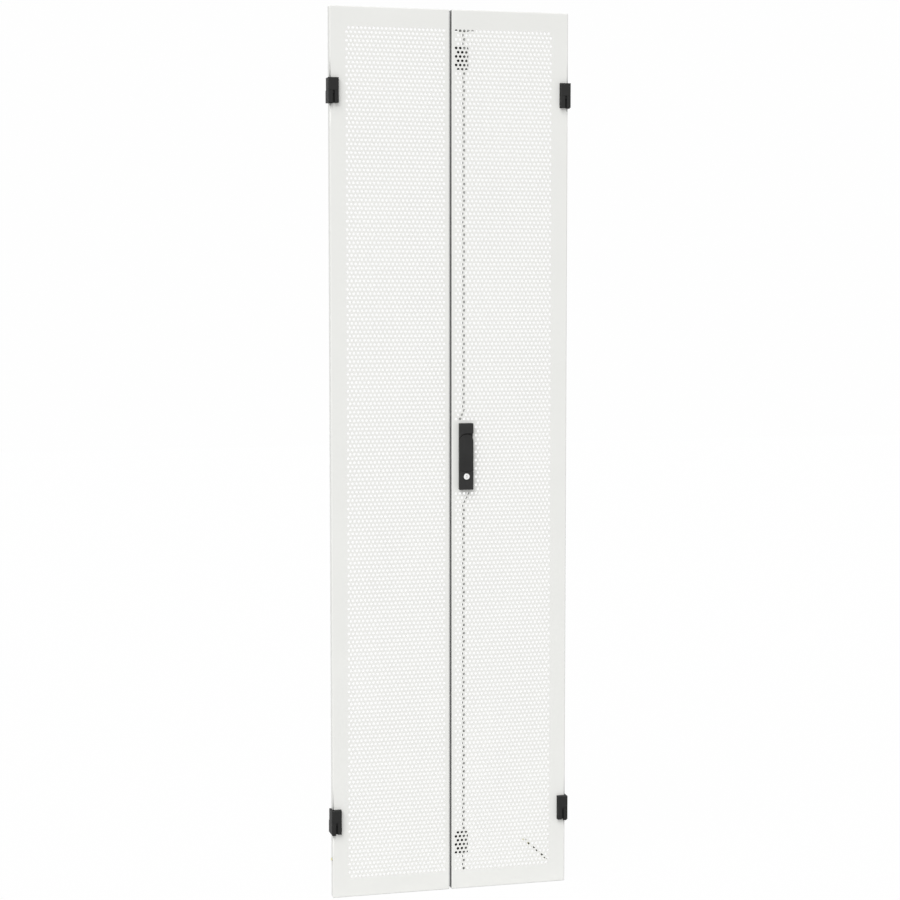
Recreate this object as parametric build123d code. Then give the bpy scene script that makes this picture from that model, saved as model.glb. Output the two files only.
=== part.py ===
from build123d import *
import math
import os

os.makedirs("parts", exist_ok=True)

# Door opening and leaves, in millimetres
door_height = 2120.0
door_width = 584.0
leaf_gap = 5.0
leaf_depth = 22.0
frame_gap = 8.0
sheet = 1.5
bend_radius = 3.0
outer_lip = 30.0
inner_lip = 13.0
rail_lip = 15.0
rail_lip_end = 77.0
cut_overrun = 5.0
quarter_turn = 90.0

half_height = door_height / 2
half_width = door_width / 2
half_gap = leaf_gap / 2
front_y = -(leaf_depth + frame_gap)
sheet_back_y = front_y + sheet
back_y = -frame_gap

# Perforated field of each leaf
field_inner = 12.0
field_stile = 38.0
field_rail = 46.5
row_pitch = 60.0
hole_open_share = 0.69
hole_columns = 4

field_outer = half_width - field_stile
hole_reach_share = hole_open_share / math.sqrt(3)
row_stagger_share = 0.25
columns_across = hole_columns - 1 + 2 * (row_stagger_share + hole_reach_share)
hole_pitch = (field_outer - field_inner) / columns_across

# Hinges
hinge_width = 24.6
hinge_height = 58.0
hinge_proud = 10.0
hinge_overhang = 4.3
hinge_edge_radius = 2.0
hinge_split = 0.4
hinge_play = 1.0
hinge_from_end = 190.75
bracket_rise = 4.75
bracket_plate = 3.0
bracket_bolt_span = 88.0
bracket_length = 104.0
bracket_corner = 4.0
bracket_inset = 7.5
bracket_hole_radius = 3.3
pin_radius = 3.0
pin_play = 0.05
pin_inset = 2.0
pin_forward = 5.2
pin_reach = 13.0
pin_tip_chamfer = 1.0
pin_bore_depth = 16.0
knob_radius = 4.8
knob_height = 2.0
seat_gap = 0.3
slot_width = 5.0
slot_roof = 1.0
tab_thickness = 3.2
tab_height = 6.0
tab_recess = 3.2
wing_reach = 14.2
wing_thickness = 3.0
wing_margin = 2.0
hinge_stud_shares = (0.25, 0.75)

bracket_half_span = half_height - hinge_from_end
hinge_outer = half_width + hinge_overhang
hinge_inner = hinge_outer - hinge_width
hinge_middle = (hinge_outer + hinge_inner) / 2
bracket_x = hinge_middle - bracket_inset
hinge_front_y = front_y - hinge_proud
pin_x = half_width - pin_inset
pin_y = front_y - pin_forward
half_hinge = hinge_height / 2
hinge_centres = {
    "upper": bracket_half_span - bracket_rise,
    "lower": -bracket_half_span - bracket_rise,
}

# Welded studs and their nuts
stud_radius = 2.0
stud_play = 0.2
stud_length = 9.0
nut_across = 7.0
nut_height = 3.2

# Swing handle on the right leaf
handle_x = 37.0
handle_width = 33.8
handle_height = 160.0
handle_proud = 12.0
handle_floor = 5.0
handle_corner = 1.5
handle_edge = 0.8
axis_z = 37.0
arc_play = 0.3
cap_play = 1.5
lever_reach = 72.7
lever_thickness = 6.7
lever_pivot_rise = 12.0
lever_pin_radius = 1.2
lever_pin_half = 11.0
ear_half = 5.0
ear_radius = 2.3
pocket_play = 0.5
disc_radius = 15.0
disc_thickness = 3.0
disc_play = 0.2
shaft_radius = 7.0
shaft_play = 0.06
cutout_width = 27.0
cutout_height = 148.0
cutout_play = 0.3
boss_width = 24.0
boss_height = 116.0
boss_depth = 5.0
scoop_width = 24.0
scoop_height = 44.0
scoop_depth = 2.5
scoop_corner = 6.0
scoop_z = -12.0
bridge_width = 36.0
bridge_height = 13.0
bridge_thickness = 2.0
bridge_z = 66.5
screw_radius = 2.0
screw_head_radius = 3.6
screw_head_height = 2.4
screw_depth = 7.0

handle_front_y = front_y - handle_proud
floor_y = front_y - handle_floor
lever_back_y = handle_front_y + lever_thickness
boss_back_y = front_y + boss_depth
half_handle = handle_width / 2
pivot_z = axis_z + lever_pivot_rise
pivot_y = (handle_front_y + lever_back_y) / 2

# Lock cylinder in the lower end of the handle
lock_z = -48.0
barrel_radius = 9.0
barrel_proud = 0.8
barrel_back = 6.5
plug_radius = 7.4
plug_proud = 0.5
plug_play = 0.05
key_slot_width = 1.6
key_slot_length = 8.5
key_slot_depth = 9.0
lock_nut_radius = 11.0
lock_nut_thickness = 1.4
tongue_gap = 0.3
tongue_thickness = 1.5
tongue_width = 6.0
tongue_reach = 12.0

# Cam and rods
rod_radius = 3.5
rod_inset = 1.2
rod_play = 0.06
rod_depth = 12.8
rod_offset = 13.0
rod_travel = 13.0
rod_bend = 14.0
rod_end_gap = 3.5
rod_tip_chamfer = 1.5
rod_overrun = 6.0
crank_near = 84.0
crank_far = 112.0
crank_lower_near = 92.0
crank_lower_far = 119.0
stub_radius = 2.9
stub_play = 0.3
cam_gap = 0.4
cam_thickness = 3.0
cam_wall = 2.6
cam_disc_radius = 13.0
cam_square = 8.0
cam_steps = 6
cam_screw_across = 10.0
cam_screw_head = 3.5

rod_x = handle_x - rod_inset
rod_y = front_y + rod_depth
cam_front_y = boss_back_y + cam_gap
cam_back_y = cam_front_y + cam_thickness
rod_tip_z = half_height - sheet - rod_end_gap

# Guides that carry the rods along the inner edge of the right leaf
guide_from_top = 111.5
guide_from_bottom = 109.0
guide_height = 54.0
guide_inner = 6.0
guide_outer = 50.0
guide_plate = 2.5
guide_boss_half = 8.0
guide_boss_height = 40.0
guide_boss_front = 8.0
guide_corner = 3.0
guide_screw_x = 12.0
guide_screw_spread = 18.0
guide_screw_radius = 1.6
guide_head_radius = 3.2
guide_head_height = 1.8

guide_z_upper = half_height - guide_from_top
guide_z_lower = guide_from_bottom - half_height

# End guides behind the rails
end_half = 11.0
end_wing_half = 26.0
end_depth = 18.0
end_stud_half = 16.5
end_from_top = 22.0
end_from_bottom = 12.0
end_upper_length = 28.0
end_lower_length = 30.0
end_wing_length = 27.5

end_upper_far = half_height - end_from_top
end_upper_near = end_upper_far - end_upper_length
end_wing_near = end_upper_far - end_wing_length
end_lower_far = half_height - end_from_bottom
end_lower_near = end_lower_far - end_lower_length

# Slide bolts of the left leaf
bolt_x = -26.0
bolt_depth = 9.0
bolt_case_half = 9.0
bolt_case_depth = 15.0
bolt_wing_half = 17.5
bolt_stud_half = 13.3
bolt_from_end = 16.0
bolt_case_length = 24.0
bolt_tail = 2.0
bolt_travel = 12.0
bolt_tab_half = 3.0
bolt_tab_height = 6.0
bolt_tab_inset = 2.5
bolt_tab_proud = 4.0
bolt_tab_play = 0.3

bolt_far = half_height - bolt_from_end
bolt_near = bolt_far - bolt_case_length
bolt_inner_end = bolt_near - bolt_tail

# Earth leads of both leaves
earth_right_inset = 30.7
earth_right_rise = 41.0
earth_left_inset = 29.0
earth_left_rise = 48.0
clip_inset = 92.7
clip_rise = 100.0
grommet_rise = 94.0
lead_radius = 2.2
lead_bend = 14.0
lead_depth = 8.0
lead_step_x = 18.0
lead_step_z = 18.5
lead_turn_share = 0.55
earth_stud_radius = 3.0
earth_stud_length = 11.0
ring_radius = 6.0
ring_thickness = 1.2
earth_nut_across = 10.0
earth_nut_height = 4.0
sleeve_radius = 2.8
sleeve_length = 16.0
clip_half = 4.5
clip_length = 8.0
grommet_radius = 4.9
grommet_flange = 1.2
grommet_neck = 3.6
sleeve_proud = 3.0

earth_stud_right = (half_width - earth_right_inset, earth_right_rise - half_height)
earth_stud_left = (earth_left_inset - half_width, earth_left_rise - half_height)
clip_point = (half_width - clip_inset, clip_rise - half_height)
grommet_z = grommet_rise - half_height
lead_y = front_y + lead_depth
lead_seat_y = sheet_back_y + 2 * ring_thickness + lead_radius


def block(x, y, z):
    """A box between two values on each axis, given in either order."""
    spans = (x, y, z)
    middle = [(a + b) / 2 for a, b in spans]
    sizes = [abs(b - a) for a, b in spans]
    return Pos(*middle) * Box(*sizes)


def upright(x, y, z, radius):
    """A cylinder along Z between two heights."""
    return Pos(x, y, (z[0] + z[1]) / 2) * Cylinder(radius, abs(z[1] - z[0]))


def inward(x, z, y, radius):
    """A cylinder along Y between two depths."""
    turn = Rot(quarter_turn, 0, 0)
    return Pos(x, (y[0] + y[1]) / 2, z) * turn * Cylinder(radius, abs(y[1] - y[0]))


def sideways(y, z, x, radius):
    """A cylinder along X between two places."""
    turn = Rot(0, quarter_turn, 0)
    return Pos((x[0] + x[1]) / 2, y, z) * turn * Cylinder(radius, abs(x[1] - x[0]))


def front_view(outline, y_near, y_far):
    """An outline drawn in the front view, thick from the near depth to the far one."""
    plane = Plane(origin=(0, y_far, 0), x_dir=(1, 0, 0), z_dir=(0, -1, 0))
    return extrude(plane * outline, amount=y_far - y_near)


def side_view(outline, x_low, x_high):
    """An outline drawn in the side view, with depth to the right and height up."""
    plane = Plane(origin=(x_low, 0, 0), x_dir=(0, 1, 0), z_dir=(1, 0, 0))
    return extrude(plane * outline, amount=x_high - x_low)


def hex_nut(x, z, y, across, bore):
    """A hexagon nut whose axis lies along Y."""
    outline = Pos(x, z) * (RegularPolygon(across / math.sqrt(3), 6) - Circle(bore))
    return front_view(outline, y[0], y[1])


def save(shape, node):
    """Write one sub-part, a single solid or a group of separate solids."""
    shape.label = node
    export_step(shape, "parts/" + node + ".step")


def field_holes(side):
    """Centres of the staggered holes of one leaf."""
    rows = int((door_height - 2 * field_rail - hole_open_share * row_pitch) / row_pitch) + 1
    middle = (field_inner + field_outer) / 2
    half_handle_zone = (handle_height + hole_pitch) / 2
    handle_zone_edge = handle_x + (handle_width + hole_pitch) / 2
    places = []
    for row in range(rows):
        z = (row - (rows - 1) / 2) * row_pitch
        stagger = hole_pitch * (row_stagger_share if row % 2 else -row_stagger_share)
        for column in range(hole_columns):
            x = side * middle + (column - (hole_columns - 1) / 2) * hole_pitch + stagger
            beside_handle = 0 < x < handle_zone_edge and abs(z) < half_handle_zone
            if not beside_handle:
                places.append((x, z))
    return places


def folded_tray(side, edge_lip):
    """The front sheet with its four flanges and the lips behind them."""
    inner_x = side * half_gap
    outer_x = side * half_width
    shell = block((inner_x, outer_x), (front_y, back_y), (-half_height, half_height))
    front_edges = shell.faces().sort_by(Axis.Y)[0].edges()
    shell = fillet(front_edges + shell.edges().filter_by(Axis.Y), bend_radius)
    room = block(
        (inner_x + side * sheet, outer_x - side * sheet),
        (sheet_back_y, back_y - sheet),
        (sheet - half_height, half_height - sheet),
    )
    room_edges = room.faces().sort_by(Axis.Y)[0].edges()
    room = fillet(room_edges + room.edges().filter_by(Axis.Y), bend_radius - sheet)
    through_lips = (back_y - sheet - cut_overrun, back_y + cut_overrun)
    window = block(
        (inner_x + side * max(edge_lip, sheet), outer_x - side * outer_lip),
        through_lips,
        (rail_lip - half_height, half_height - rail_lip),
    )
    end_window = block(
        (inner_x + side * max(edge_lip, sheet), side * rail_lip_end),
        through_lips,
        (sheet - half_height, half_height - sheet),
    )
    return shell - room - window - end_window


def perforation(side):
    """The cutters of every hole in one leaf."""
    radius = hole_pitch * hole_reach_share
    holes = Sketch() + [Pos(x, z) * RegularPolygon(radius, 6) for x, z in field_holes(side)]
    return front_view(holes, front_y - cut_overrun, sheet_back_y + sheet)


def hinge_notch(side, centre_z):
    """The opening at the outer edge of a leaf that one hinge fills."""
    return block(
        (side * (hinge_inner - hinge_play), side * (half_width + cut_overrun)),
        (front_y - cut_overrun, back_y + cut_overrun),
        (centre_z - half_hinge - hinge_play, centre_z + half_hinge + hinge_play),
    )


def stud(x, z):
    """A stud welded to the back of the front sheet."""
    return inward(x, z, (sheet_back_y, sheet_back_y + stud_length), stud_radius)


def hinge_stud_places(side):
    """The two studs that hold the door half of each hinge."""
    x = side * (hinge_inner - wing_reach / 2)
    centres = hinge_centres.values()
    return [(x, centre + half_hinge * share) for centre in centres for share in hinge_stud_shares]


def end_stud_places():
    """The studs of the end guides, upper pair and lower pair."""
    upper = (end_wing_near + end_upper_far) / 2
    lower = -(end_lower_near + end_lower_far) / 2
    return [(rod_x + step * end_stud_half, z) for z in (upper, lower) for step in (-1, 1)]


def bolt_stud_places():
    """The studs of the slide bolts, upper pair and lower pair."""
    z = (bolt_near + bolt_far) / 2
    return [(bolt_x + step * bolt_stud_half, way * z) for way in (1, -1) for step in (-1, 1)]


def left_leaf():
    """Left leaf: one folded, perforated sheet with its welded studs."""
    leaf = folded_tray(-1, sheet)
    leaf -= perforation(-1)
    for centre in hinge_centres.values():
        leaf -= hinge_notch(-1, centre)
    flange = (-half_width - cut_overrun, -half_width + sheet + cut_overrun)
    leaf -= sideways(lead_y, grommet_z, flange, grommet_neck)
    for x, z in hinge_stud_places(-1) + bolt_stud_places():
        leaf += stud(x, z)
    x, z = earth_stud_left
    leaf += inward(x, z, (sheet_back_y, sheet_back_y + earth_stud_length), earth_stud_radius)
    return leaf


def right_leaf():
    """Right leaf: one folded, perforated sheet, cut out for the handle."""
    leaf = folded_tray(1, inner_lip)
    leaf -= perforation(1)
    for centre in hinge_centres.values():
        leaf -= hinge_notch(1, centre)
    cutout = Pos(handle_x, 0) * RectangleRounded(cutout_width, cutout_height, handle_corner)
    leaf -= front_view(cutout, front_y - cut_overrun, sheet_back_y + sheet)
    for x, z in hinge_stud_places(1) + end_stud_places():
        leaf += stud(x, z)
    x, z = earth_stud_right
    leaf += inward(x, z, (sheet_back_y, sheet_back_y + earth_stud_length), earth_stud_radius)
    for x, z in guide_screw_places():
        leaf -= inward(x, z, (back_y - sheet - cut_overrun, back_y + cut_overrun), guide_screw_radius)
    return leaf


def hinge_body(side, y, z):
    """The plain outline of one half of a hinge, round at its front edges."""
    shape = block((side * hinge_inner, side * hinge_outer), y, z)
    front_edges = shape.edges().filter_by(Axis.Z).sort_by(Axis.Y)[0:2]
    return fillet(front_edges, hinge_edge_radius)


def hinge_block(side, centre_z):
    """Door half of a hinge: the upper half, with a wing behind the front sheet."""
    low = centre_z + hinge_split / 2
    high = centre_z + half_hinge
    shape = hinge_body(side, (hinge_front_y, back_y), (low, high))
    wing = block(
        (side * (hinge_inner - wing_reach), side * (hinge_inner + wing_margin)),
        (sheet_back_y, sheet_back_y + wing_thickness),
        (low + wing_margin, high - wing_margin),
    )
    shape += wing
    bore = (low - cut_overrun, low + pin_bore_depth)
    shape -= upright(side * pin_x, pin_y, bore, pin_radius + pin_play)
    for x, z in hinge_stud_places(side):
        if low < z < high:
            depth = (front_y, sheet_back_y + wing_thickness + cut_overrun)
            shape -= inward(x, z, depth, stud_radius + stud_play)
    return shape


def hinge_bracket(side, centre_z):
    """Cabinet half of a hinge: the lower half on its bolted back plate."""
    low = centre_z - half_hinge
    high = centre_z - hinge_split / 2
    shape = hinge_body(side, (hinge_front_y, -bracket_plate), (low, high))
    middle_z = centre_z + bracket_rise
    plate = Pos(side * bracket_x, middle_z)
    plate = plate * RectangleRounded(hinge_width, bracket_length, bracket_corner)
    shape += front_view(plate, -bracket_plate, 0)
    for way in (-1, 1):
        z = middle_z + way * bracket_bolt_span / 2
        depth = (-bracket_plate - cut_overrun, cut_overrun)
        shape -= inward(side * bracket_x, z, depth, bracket_hole_radius)
    shape -= upright(side * pin_x, pin_y, (low - cut_overrun, high + cut_overrun), pin_radius + pin_play)
    slot_x = side * hinge_middle
    half_slot = slot_width / 2
    slot_high = high - slot_roof
    slot_back = pin_y + tab_thickness / 2 + seat_gap
    shape -= block(
        (slot_x - half_slot, slot_x + half_slot),
        (hinge_front_y - cut_overrun, slot_back),
        (low - cut_overrun, slot_high),
    )
    shape -= block(
        (side * pin_x, slot_x),
        (pin_y - tab_thickness / 2 - seat_gap, slot_back),
        (low - cut_overrun, slot_high),
    )
    return shape


def hinge_pin(side, centre_z):
    """Sliding hinge pin with its finger tab and its round foot."""
    low = centre_z - half_hinge - seat_gap
    pin = upright(side * pin_x, pin_y, (low, centre_z + pin_reach), pin_radius)
    pin = chamfer(pin.faces().sort_by(Axis.Z)[-1].edges(), pin_tip_chamfer)
    pin += upright(side * pin_x, pin_y, (low - knob_height, low), knob_radius)
    slot_x = side * hinge_middle
    half_tab = slot_width / 2 - seat_gap
    tab_high = centre_z - hinge_split / 2 - slot_roof - seat_gap
    tab_z = (tab_high - tab_height, tab_high)
    arm = (pin_y - tab_thickness / 2, pin_y + tab_thickness / 2)
    pin += block((side * pin_x, slot_x), arm, tab_z)
    nose = (hinge_front_y + tab_recess, pin_y + tab_thickness / 2)
    pin += block((slot_x - half_tab, slot_x + half_tab), nose, tab_z)
    return pin


def stud_nuts(places, seat):
    """Hexagon nuts on a group of studs, seated at one depth."""
    depth = (seat, seat + nut_height)
    return Compound([hex_nut(x, z, depth, nut_across, stud_radius) for x, z in places])


def handle_outline():
    """Front view of the whole handle."""
    return Pos(handle_x, 0) * RectangleRounded(handle_width, handle_height, handle_corner)


def below(z):
    """The half plane under one height, as wide as the handle's swing."""
    size = 2 * (lever_reach + handle_height)
    return Pos(handle_x, z - size / 2) * Rectangle(size, size)


def handle_base():
    """Fixed part of the handle: floor, round-ended cap, lock housing and rear boss."""
    axis = Pos(handle_x, axis_z)
    lane = axis * Circle(half_handle + cap_play)
    lane += axis * Circle(lever_reach + arc_play) & below(axis_z)
    relief_height = half_handle + cap_play
    relief = Rectangle(handle_width, relief_height)
    lane += Pos(handle_x + half_handle, axis_z + relief_height / 2) * relief
    raised = front_view(handle_outline() - lane, handle_front_y, floor_y)
    rims = [face.edges() for face in raised.faces().filter_by(Axis.Y).group_by(Axis.Y)[0]]
    raised = chamfer([edge for rim in rims for edge in rim], handle_edge)
    base = raised + front_view(handle_outline(), floor_y, front_y)
    neck = Pos(handle_x, 0) * RectangleRounded(
        cutout_width - 2 * cutout_play, cutout_height - 2 * cutout_play, handle_corner
    )
    base += front_view(neck, front_y, sheet_back_y)
    boss = Pos(handle_x, 0) * RectangleRounded(boss_width, boss_height, handle_corner)
    base += front_view(boss, sheet_back_y, boss_back_y)
    base -= front_view(axis * Circle(disc_radius + disc_play), floor_y, floor_y + disc_thickness + disc_play)
    bore = (floor_y, boss_back_y + cut_overrun)
    base -= inward(handle_x, axis_z, bore, shaft_radius + shaft_play)
    scoop = Pos(handle_x, scoop_z) * RectangleRounded(scoop_width, scoop_height, scoop_corner)
    base -= front_view(scoop, floor_y, floor_y + scoop_depth)
    whole = (handle_front_y - cut_overrun, boss_back_y + cut_overrun)
    base -= inward(handle_x, lock_z, whole, barrel_radius)
    for way in (-1, 1):
        depth = (sheet_back_y - screw_depth, sheet_back_y + cut_overrun)
        base -= inward(handle_x, way * bridge_z, depth, screw_radius)
    return base


def handle_bridges():
    """Two plates that clamp the handle to the back of the sheet."""
    plates = []
    for way in (-1, 1):
        outline = Rectangle(bridge_width, bridge_height) - Circle(screw_radius + stud_play)
        outline = Pos(handle_x, way * bridge_z) * outline
        plates.append(front_view(outline, sheet_back_y, sheet_back_y + bridge_thickness))
    return Compound(plates)


def handle_screws():
    """Two screws through the bridges into the handle."""
    seat = sheet_back_y + bridge_thickness
    screws = []
    for way in (-1, 1):
        z = way * bridge_z
        shank = inward(handle_x, z, (sheet_back_y - screw_depth, seat), screw_radius)
        head = inward(handle_x, z, (seat, seat + screw_head_height), screw_head_radius)
        screws.append(shank + head)
    return Compound(screws)


def handle_rotor():
    """Turning part: disc, ear for the lever, round shaft and square end."""
    disc = inward(handle_x, axis_z, (floor_y, floor_y + disc_thickness), disc_radius)
    shaft = inward(handle_x, axis_z, (floor_y + disc_thickness, cam_front_y), shaft_radius)
    square = Pos(handle_x, axis_z) * Rectangle(cam_square, cam_square)
    end = front_view(square, cam_front_y, cam_back_y)
    neck = Pos((pivot_y + floor_y) / 2, pivot_z) * Rectangle(floor_y - pivot_y, 2 * ear_radius)
    ear = side_view(
        Pos(pivot_y, pivot_z) * Circle(ear_radius) + neck,
        handle_x - ear_half,
        handle_x + ear_half,
    )
    bore = (handle_x - half_handle, handle_x + half_handle)
    ear -= sideways(pivot_y, pivot_z, bore, lever_pin_radius + pin_play)
    return disc + shaft + end + ear


def handle_lever():
    """Lever of the handle, round at its top and hollow behind its pivot."""
    axis = Pos(handle_x, axis_z)
    stem = Pos(handle_x, axis_z - lever_reach / 2) * Rectangle(handle_width, lever_reach)
    plan = (stem & axis * Circle(lever_reach)) + axis * Circle(half_handle)
    body = front_view(plan, handle_front_y, lever_back_y)
    rim = body.faces().sort_by(Axis.Y)[0].edges()
    body = chamfer(rim, handle_edge)
    pivot = Pos(pivot_y, pivot_z)
    half_thickness = lever_thickness / 2
    front_nose = half_handle - lever_pivot_rise
    nose = Circle(front_nose) & Pos(-front_nose, 0) * Rectangle(2 * front_nose, 2 * front_nose)
    nose = pivot * (nose + Circle(half_thickness))
    edges = (handle_x - half_handle, handle_x + half_handle)
    upper = body & side_view(nose, *edges)
    lower = body & block(edges, (handle_front_y, lever_back_y), (-handle_height, pivot_z))
    lever = lower + upper
    pocket_half = ear_half + pocket_play
    pocket_radius = ear_radius + pocket_play
    opening = Pos(half_thickness, half_thickness) * Rectangle(
        2 * half_thickness, 2 * (half_thickness + pocket_radius)
    )
    pocket = pivot * (Circle(pocket_radius) + opening)
    lever -= side_view(pocket, handle_x - pocket_half, handle_x + pocket_half)
    pin = (handle_x - lever_pin_half, handle_x + lever_pin_half)
    return lever - sideways(pivot_y, pivot_z, pin, lever_pin_radius)


def lever_pin():
    """Cross pin that the lever lifts on."""
    pin = (handle_x - lever_pin_half, handle_x + lever_pin_half)
    return sideways(pivot_y, pivot_z, pin, lever_pin_radius)


def lock_barrel():
    """Fixed barrel of the lock cylinder."""
    depth = (handle_front_y - barrel_proud, front_y + barrel_back)
    barrel = inward(handle_x, lock_z, depth, barrel_radius)
    bore = (depth[0] - cut_overrun, depth[1] + cut_overrun)
    return barrel - inward(handle_x, lock_z, bore, plug_radius + plug_play)


def lock_nut():
    """Thin ring nut behind the handle that holds the barrel."""
    depth = (boss_back_y, boss_back_y + lock_nut_thickness)
    ring = inward(handle_x, lock_z, depth, lock_nut_radius)
    return ring - inward(handle_x, lock_z, depth, barrel_radius)


def lock_plug():
    """Turning plug with the key slot in its face."""
    face_y = handle_front_y - barrel_proud - plug_proud
    tail_y = front_y + barrel_back + tongue_gap
    plug = inward(handle_x, lock_z, (face_y, tail_y), plug_radius)
    plug = chamfer(plug.faces().sort_by(Axis.Y)[0].edges(), plug_proud)
    slot = Pos(handle_x, lock_z) * Rectangle(key_slot_width, key_slot_length)
    return plug - front_view(slot, face_y - cut_overrun, face_y + key_slot_depth)


def lock_tongue():
    """Flat tongue on the tail of the plug."""
    tail_y = front_y + barrel_back + tongue_gap
    half_tongue = tongue_width / 2
    length = tongue_reach + half_tongue
    bar = Pos(handle_x, lock_z + length / 2 - half_tongue) * Rectangle(tongue_width, length)
    return front_view(bar, tail_y, tail_y + tongue_thickness)


def slot_line(way):
    """Path of a rod's stub in the turning cam, for one side of the axis."""
    points = []
    for step in range(cam_steps + 1):
        share = step / cam_steps
        angle = math.radians(quarter_turn * share)
        x = way * rod_offset
        z = way * rod_travel * share
        turned_x = x * math.cos(angle) + z * math.sin(angle)
        turned_z = z * math.cos(angle) - x * math.sin(angle)
        points.append((turned_x, turned_z))
    return points


def band(points, half):
    """A strip with round ends along a curve."""
    line = Spline(points)
    ends = [Pos(*points[0]) * Circle(half), Pos(*points[-1]) * Circle(half)]
    return trace(line, 2 * half) + ends


def lock_cam():
    """Cam plate with two curved slots that draw the rods in as it turns."""
    plate = Circle(cam_disc_radius) - Rectangle(cam_square, cam_square)
    half_slot = stub_radius + stub_play
    for way in (-1, 1):
        plate += band(slot_line(way), half_slot + cam_wall)
    plate -= Rectangle(cam_square, cam_square)
    for way in (-1, 1):
        plate -= band(slot_line(way), half_slot)
    return front_view(Pos(handle_x, axis_z) * plate, cam_front_y, cam_back_y)


def cam_screw():
    """Hexagon screw head that holds the cam on the square."""
    outline = Pos(handle_x, axis_z) * RegularPolygon(cam_screw_across / math.sqrt(3), 6)
    return front_view(outline, cam_back_y, cam_back_y + cam_screw_head)


def locking_rod(way, near, far):
    """A round rod from its rail to the cam, with one crank and an end stub."""
    end_x = handle_x - way * rod_offset
    points = [
        (rod_x, rod_y, way * rod_tip_z),
        (rod_x, rod_y, way * far),
        (end_x, rod_y, way * near),
        (end_x, rod_y, axis_z - way * rod_overrun),
    ]
    path = FilletPolyline(*points, radius=rod_bend)
    section = Plane(origin=points[0], z_dir=(0, 0, -way)) * Circle(rod_radius)
    rod = sweep(section, path=path)
    tip = rod.faces().sort_by(Axis.Z)[-1 if way > 0 else 0]
    rod = chamfer(tip.edges(), rod_tip_chamfer)
    return rod + inward(end_x, axis_z, (cam_front_y, rod_y), stub_radius)


def guide_screw_places():
    """Screws of both rod guides in the inner lip."""
    centres = (guide_z_upper, guide_z_lower)
    return [(guide_screw_x, z + way * guide_screw_spread) for z in centres for way in (-1, 1)]


def rod_guide(centre_z):
    """Moulded guide: a plate behind the inner lip with a boss round the rod."""
    middle_x = (guide_inner + guide_outer) / 2
    plate = RectangleRounded(guide_outer - guide_inner, guide_height, guide_corner)
    shape = front_view(Pos(middle_x, centre_z) * plate, back_y, back_y + guide_plate)
    boss = Rectangle(2 * guide_boss_half, guide_boss_height)
    boss_front_y = front_y + guide_boss_front
    shape += front_view(Pos(rod_x, centre_z) * boss, boss_front_y, back_y)
    bore = (centre_z - guide_height, centre_z + guide_height)
    shape -= upright(rod_x, rod_y, bore, rod_radius + rod_play)
    for x, z in guide_screw_places():
        if abs(z - centre_z) < guide_height:
            shape -= inward(x, z, (back_y, back_y + guide_plate + cut_overrun), guide_screw_radius)
    return shape


def guide_screws():
    """Screws through the rod guides into the inner lip."""
    seat = back_y + guide_plate
    screws = []
    for x, z in guide_screw_places():
        shank = inward(x, z, (back_y - sheet, seat), guide_screw_radius)
        head = inward(x, z, (seat, seat + guide_head_height), guide_head_radius)
        screws.append(shank + head)
    return Compound(screws)


def end_guide(way, near, far, wing_near, places):
    """Block behind a rail that the tip of a rod slides in, with two winged feet."""
    shape = block(
        (rod_x - end_half, rod_x + end_half),
        (sheet_back_y, front_y + end_depth),
        (way * near, way * far),
    )
    back_edges = shape.edges().filter_by(Axis.Z).sort_by(Axis.Y)[2:4]
    shape = fillet(back_edges, guide_corner)
    shape += block(
        (rod_x - end_wing_half, rod_x + end_wing_half),
        (sheet_back_y, sheet_back_y + wing_thickness),
        (way * wing_near, way * far),
    )
    bore = (way * (near - cut_overrun), way * (far + cut_overrun))
    shape -= upright(rod_x, rod_y, bore, rod_radius + rod_play)
    for x, z in places:
        depth = (front_y, sheet_back_y + wing_thickness + cut_overrun)
        shape -= inward(x, z, depth, stud_radius + stud_play)
    return shape


def bolt_case(way):
    """Case of a slide bolt, with a slot at its back for the thumb tab."""
    bolt_y = front_y + bolt_depth
    shape = block(
        (bolt_x - bolt_case_half, bolt_x + bolt_case_half),
        (sheet_back_y, front_y + bolt_case_depth),
        (way * bolt_near, way * bolt_far),
    )
    back_edges = shape.edges().filter_by(Axis.Z).sort_by(Axis.Y)[2:4]
    shape = fillet(back_edges, guide_corner)
    shape += block(
        (bolt_x - bolt_wing_half, bolt_x + bolt_wing_half),
        (sheet_back_y, sheet_back_y + wing_thickness),
        (way * bolt_near, way * bolt_far),
    )
    bore = (way * (bolt_near - cut_overrun), way * (bolt_far + cut_overrun))
    shape -= upright(bolt_x, bolt_y, bore, rod_radius + rod_play)
    slot_half = bolt_tab_half + bolt_tab_play
    tab_far = bolt_far - bolt_tab_inset
    shape -= block(
        (bolt_x - slot_half, bolt_x + slot_half),
        (bolt_y, front_y + bolt_case_depth + cut_overrun),
        (
            way * (tab_far + bolt_tab_play),
            way * (tab_far - bolt_tab_height - bolt_travel - bolt_tab_play),
        ),
    )
    for x, z in bolt_stud_places():
        if z * way > 0:
            depth = (front_y, sheet_back_y + wing_thickness + cut_overrun)
            shape -= inward(x, z, depth, stud_radius + stud_play)
    return shape


def slide_bolt(way):
    """Round bolt with its thumb tab."""
    bolt_y = front_y + bolt_depth
    bolt = upright(bolt_x, bolt_y, (way * bolt_inner_end, way * rod_tip_z), rod_radius)
    tip = bolt.faces().sort_by(Axis.Z)[-1 if way > 0 else 0]
    bolt = chamfer(tip.edges(), rod_tip_chamfer)
    tab_far = bolt_far - bolt_tab_inset
    bolt += block(
        (bolt_x - bolt_tab_half, bolt_x + bolt_tab_half),
        (bolt_y, front_y + bolt_case_depth + bolt_tab_proud),
        (way * tab_far, way * (tab_far - bolt_tab_height)),
    )
    return bolt


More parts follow.
